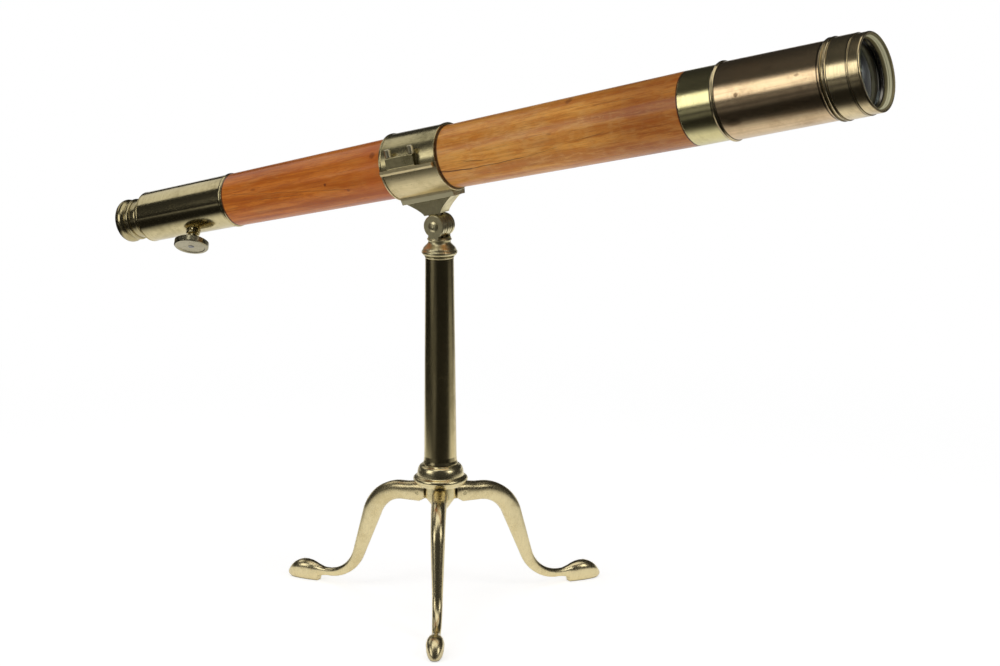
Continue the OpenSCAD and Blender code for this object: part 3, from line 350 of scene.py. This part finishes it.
def glass(name):
    """Old lens glass: clear, with a trace of wiping marks."""
    f = Finish(name, of_tube=True)
    wiped = f.ease(f.noise((6.0, 1.2, 14.0), shift=6.0, warp=0.6), 0.50, 0.80)
    tint = f.mix(f.noise(30.0, shift=1.0), (0.96, 0.985, 0.97), (0.92, 0.96, 0.95))
    f.set(Base_Color=tint, Roughness=f.times(wiped, 0.05), IOR=1.52, Specular_IOR_Level=0.14,
          Transmission_Weight=1.0, Normal=f.bump(f.noise(20.0, shift=3.0, detail=1), 0.004))
    return f.material


def dress(material, *names):
    """Puts the material in every slot of those pieces."""
    for name in names:
        piece = nodes[name]
        if not piece.material_slots:
            piece.data.materials.append(material)
        for slot in piece.material_slots:
            slot.material = material


dress(metal("brass_stand", (0.88, 0.76, 0.44), (0.66, 0.56, 0.29), rough=(0.20, 0.26),
            lines=(5.0, 5.0, 0.5), grain=0.002),
      "tripod_head", "pillar_socket", "leg_hinge_pins", "spindle_washer", "spindle_nut")
dress(metal("brass_pillar", (0.74, 0.62, 0.33), (0.46, 0.38, 0.18), patches=(0.40, 0.80),
            lines=(0.7, 0.7, 30.0)),
      "pillar")
dress(metal("brass_legs", (0.84, 0.72, 0.42), (0.66, 0.54, 0.28), rough=(0.20, 0.26),
            lines=(0.8, 0.8, 9.0), spots=0.1, waves=0.25, grain=0.001, edge=1.3),
      "leg_rear", "leg_left", "leg_right")
dress(metal("brass_joint", (0.88, 0.78, 0.46), (0.56, 0.48, 0.25), rough=(0.27, 0.348),
            lines=(2.0, 2.0, 2.0)),
      "joint_head", "joint_pin", "joint_nut", "joint_block")
dress(metal("brass_collar", (0.58, 0.50, 0.27), (0.26, 0.22, 0.10), of_tube=True, rough=(0.18, 0.264),
            lines=(12.0, 0.8, 0.8), edge=0.5),
      "collar_upper")
dress(metal("brass_brushed", (0.80, 0.67, 0.38), (0.54, 0.44, 0.22), of_tube=True, rough=(0.32, 0.392),
            lines=(12.0, 0.8, 0.8), edge=0.5, special=saddle_painted_reflection),
      "collar_lower")
dress(metal("brass_eye", (0.69, 0.59, 0.33), (0.38, 0.31, 0.15), of_tube=True, rough=(0.10, 0.16),
            lines=(0.5, 14.0, 14.0)),
      "eye_body", "front_bush", "draw_tube", "pinion_bush")
dress(metal("brass_cup", (0.52, 0.44, 0.24), (0.30, 0.24, 0.11), of_tube=True, rough=(0.16, 0.244),
            lines=(0.5, 14.0, 14.0)),
      "eyepiece_cup")
dress(metal("brass_knob", (0.46, 0.41, 0.27), (0.26, 0.23, 0.13), of_tube=True, rough=(0.18, 0.264)),
      "focus_knob")
dress(metal("brass_bright", (0.75, 0.67, 0.34), (0.58, 0.50, 0.24), of_tube=True, rough=(0.15, 0.198),
            lines=(0.6, 18.0, 18.0), shaded_seams=((302.1, 303.6),), special=black_inside),
      "object_tube")
dress(metal("bronze_shade", (0.72, 0.54, 0.32), (0.44, 0.29, 0.15), of_tube=True, rough=(0.17, 0.23),
            patches=(0.42, 0.80), lines=(90.0, 2.2, 2.2), spots=0.2, grain=0.008,
            blots=((327.1, 4.9, 2.6, 2.4, 0.9), (318.0, -16.5, 10.0, 4.5, 0.7),
                   (382.9, 11.0, 3.0, 1.6, 0.6), (357.0, 20.8, 4.0, 2.0, 0.4)),
            shaded_seams=((306.6, 307.6), (399.8, 401.2))),
      "shade_tube")
dress(metal("bronze_front", (0.78, 0.64, 0.37), (0.46, 0.34, 0.18), of_tube=True, rough=(0.15, 0.216),
            lines=(0.5, 16.0, 16.0), dirt_and_shade=0.85, waves=0.05,
            shaded_seams=((303.0, 303.7), (403.4, 404.4), (407.4, 408.1), (426.4, 427.3)), special=matt_mouth),
      "shade_rear_ring", "shade_front_ring")
dress(metal("screw_brass", (0.95, 0.86, 0.58), (0.44, 0.35, 0.17), rough=(0.28, 0.352),
            lines=(0.5, 0.5, 0.5)),
      "clamp_screws")
dress(metal("inner_brass", (0.80, 0.66, 0.36), (0.44, 0.35, 0.17), of_tube=True, lines=(0.5, 12.0, 12.0)),
      "rear_bush", "focus_rack")
dress(metal("screw_steel", (0.34, 0.33, 0.31), (0.14, 0.13, 0.12), lines=(0.4, 3.0, 0.4)),
      "saddle_screws", "focus_pinion", "knob_screw")
dress(wood("fruitwood"), "wood_barrel")
dress(black_paint("black_paint"),
      "barrel_stop", "object_cell", "eyepiece_tube", "field_stop", "erector_tube", "erector_stop")
dress(metal("rubbed_ring", (0.30, 0.28, 0.24), (0.05, 0.045, 0.04), of_tube=True,
            lines=(0.4, 8.0, 8.0), dirt_and_shade=0.3),
      "lens_ring")
dress(glass("lens_glass"),
      "crown_lens", "flint_lens", "eye_lens", "field_lens", "erector_lens_rear", "erector_lens_front")


def smooth_surface(name, sharpest):
    """Joins a mesh's split corners and shades it smooth across edges flatter than that many degrees."""
    group = bpy.data.node_groups.new(name, "GeometryNodeTree")
    for way in ("INPUT", "OUTPUT"):
        group.interface.new_socket("Geometry", in_out=way, socket_type="NodeSocketGeometry")
    chain = [group.nodes.new(kind) for kind in (
        "NodeGroupInput", "GeometryNodeRemoveAttribute", "GeometryNodeMergeByDistance",
        "GeometryNodeSetShadeSmooth", "GeometryNodeSetShadeSmooth", "NodeGroupOutput")]
    for before, after in zip(chain, chain[1:]):
        group.links.new(before.outputs[0], after.inputs[0])
    drop_normals, join, soft_faces, soft_edges = chain[1:-1]
    drop_normals.inputs["Name"].default_value = "custom_normal"
    join.inputs["Distance"].default_value = 0.002 * MM
    soft_faces.domain = "FACE"
    soft_edges.domain = "EDGE"
    angle = group.nodes.new("GeometryNodeInputMeshEdgeAngle").outputs[0]
    flatter = group.nodes.new("FunctionNodeCompare")
    flatter.operation = "LESS_THAN"
    flatter.inputs[1].default_value = math.radians(sharpest)
    group.links.new(angle, flatter.inputs[0])
    group.links.new(flatter.outputs[0], soft_edges.inputs["Shade Smooth"])
    return group


soft_legs = smooth_surface("soft_legs", 36)
for leg in ("leg_rear", "leg_left", "leg_right"):
    nodes[leg].modifiers.new("soft", "NODES").node_group = soft_legs


def add(name, data, place=(0, 0, 0), axes=((1, 0, 0), (0, 1, 0), (0, 0, 1))):
    """An object at that place, with its x, y and z axes along those directions."""
    made = bpy.data.objects.new(name, data)
    bpy.context.scene.collection.objects.link(made)
    made.matrix_world = Matrix.Translation(place) @ Matrix(axes).transposed().to_4x4()
    return made


# The camera, at the photograph's place
FORWARD = Vector((-0.4999, 0.8378, -0.2197)).normalized()
RIGHT = FORWARD.cross(Vector((0, 0, 1))).normalized()
BACK = Vector((FORWARD.x, FORWARD.y, 0)).normalized()
lens = bpy.data.cameras.new("camera")
lens.lens = 105
lens.sensor_width = 36
lens.sensor_fit = "HORIZONTAL"
lens.clip_start = 0.05
lens.clip_end = 100
bpy.context.scene.camera = add("camera", lens, (1.2998, -2.1318, 0.8153),
                               (RIGHT, RIGHT.cross(FORWARD), -FORWARD))


def soft_light(name, centre, aim, long_way, size, radiance):
    """A rectangular lamp at centre that faces aim, with its second side along long_way."""
    out = (Vector(aim) - Vector(centre)).normalized()
    y_way = (Vector(long_way) - out * out.dot(Vector(long_way))).normalized()
    lamp = bpy.data.lights.new(name, "AREA")
    lamp.shape = "RECTANGLE"
    lamp.size, lamp.size_y = size
    lamp.energy = 4 * size[0] * size[1] * radiance
    add(name, lamp, centre, (y_way.cross(-out), y_way, -out)).visible_camera = False


soft_light("left_box", (-0.865, -1.495, 1.085), (-0.395, -0.6125, 1.085), (0, 0, 1), (0.91, 1.07), 1.4)
soft_light("right_box", (1.75, -0.10, 1.35), (0, 0, 0.45), (0, 0, 1), (0.8, 0.9), 1.8)
soft_light("front_box", (-0.20, -1.00, 1.95), (-0.03, 0, 0.3), (1, 0, 0), (0.8, 0.5), 1.2)
soft_light("top_box", (0.1, 0.15, 2.4), (0.1, 0.15, 0), (1, 0, 0), (1.8, 1.8), 0.8)
soft_light("left_card", (-1.30, 0.20, 1.28), (0, 0.20, 1.28), (0, 1, 0), (0.86, 1.10), 0.6)

# The table that metal mirrors is dark, with pale sheets and dimmer glows on it. Each is a patch: its middle
# and half its size, both in mm to the photograph's right and away from the viewer, and how soft its edge is.
# A glow also has its brightness.
SHEETS = ((80.0, 390.0, 620.0, 570.0, 0.20), (0.0, 4000.0, 1100.0, 3100.0, 0.10))
SHEET_GLOW = 0.45
GLOWS = (
    ((-1950.0, -1050.0, 650.0, 560.0, 0.3), 0.28), ((-640.0, -760.0, 190.0, 330.0, 0.5), 0.13),
    ((1060.0, 60.0, 330.0, 330.0, 0.5), 0.30), ((-2800.0, -2500.0, 700.0, 900.0, 0.4), 0.35),
)
SQUARENESS = 6.0
DARK_TABLE = (0.02, 0.019, 0.017)
PALE_PAPER = (0.84, 0.84, 0.83)


def table_paper(name):
    """White to the camera, with the object's shadow; pale and even to matt surfaces; patches to metal."""
    f = Finish(name)
    along, aside = f.along(f.place, BACK), f.along(f.place, RIGHT)

    def patch(middle_aside, middle_along, half_aside, half_along, soft):
        """1 inside a rectangle with rounded corners and 0 outside it."""
        a = f.maths("DIVIDE", f.minus(aside, middle_aside), half_aside)
        b = f.maths("DIVIDE", f.minus(along, middle_along), half_along)
        away = f.plus(*(f.maths("POWER", f.maths("ABSOLUTE", v), SQUARENESS) for v in (a, b)))
        return f.ease(f.maths("POWER", away, 1 / SQUARENESS), 1 + soft, 1 - soft)

    sheet = f.most(*(patch(*each) for each in SHEETS))
    glow = f.most(f.times(sheet, SHEET_GLOW), *(f.times(patch(*spot), level) for spot, level in GLOWS))
    rays = f.node("LightPath").outputs
    seen, mirrored = rays["Is Camera Ray"], rays["Is Glossy Ray"]
    matt = f.minus(f.minus(1.0, seen), mirrored)
    shine = f.plus(f.times(seen, 0.68), f.plus(f.times(mirrored, glow), f.times(matt, 0.22)))
    unseen = f.mix(mirrored, PALE_PAPER, f.mix(sheet, DARK_TABLE, PALE_PAPER))
    f.set(Base_Color=f.mix(seen, unseen, (0.70, 0.70, 0.70)), Roughness=0.9, Specular_IOR_Level=0.0,
          Emission_Color=WHITE, Emission_Strength=shine)

    # away from the object the camera sees plain white
    distance = f.node("VectorMath", {0: f.place}, operation="LENGTH").outputs["Value"]
    white = f.node("Emission", {"Color": WHITE, "Strength": 1.0}).outputs[0]
    far = f.times(f.ease(distance, 350.0, 1100.0), seen)
    both = f.node("MixShader", {0: far, 1: f.shader.outputs[0], 2: white}).outputs[0]
    f.feed(next(n for n in f.tree.nodes if n.type == "OUTPUT_MATERIAL").inputs["Surface"], both)
    return f.material


TABLE_RADIUS = 14
TABLE_SIDES = 96
JUST_BELOW = -0.0003
ground = bpy.data.meshes.new("table")
turns = [math.tau * i / TABLE_SIDES for i in range(TABLE_SIDES)]
ground.from_pydata([(TABLE_RADIUS * math.cos(t), TABLE_RADIUS * math.sin(t), JUST_BELOW) for t in turns],
                   [], [tuple(range(TABLE_SIDES))])
ground.materials.append(table_paper("table_paper"))
table = add("table", ground)


def studio(name):
    """White to the camera; to metal a dark room, bright low down behind the table; to the rest a fill light."""
    world = bpy.data.worlds.new(name)
    world.use_nodes = True
    world.node_tree.nodes.clear()
    w = Nodes(world.node_tree)
    way = w.node("TexCoord").outputs["Generated"]
    to_back, up = w.along(way, BACK), w.along(way, (0, 0, 1))
    behind = w.times(w.ease(to_back, 0.35, 0.85), w.ease(up, 0.16, 0.04))
    mirrored = w.plus(w.times(behind, 0.90), 0.024)
    fill = w.plus(w.times(w.ease(to_back, 0.2, -0.6), 0.32), 0.07)
    rays = w.node("LightPath").outputs
    glossy = rays["Is Glossy Ray"]
    unseen = w.plus(w.times(mirrored, glossy), w.times(fill, w.minus(1.0, glossy)))
    background = w.node("Background", {"Color": WHITE, "Strength": w.most(unseen, rays["Is Camera Ray"])})
    w.node("OutputWorld", {"Surface": background.outputs[0]})
    return world


bpy.context.scene.world = studio("studio")
bpy.context.scene.view_settings.view_transform = "Standard"
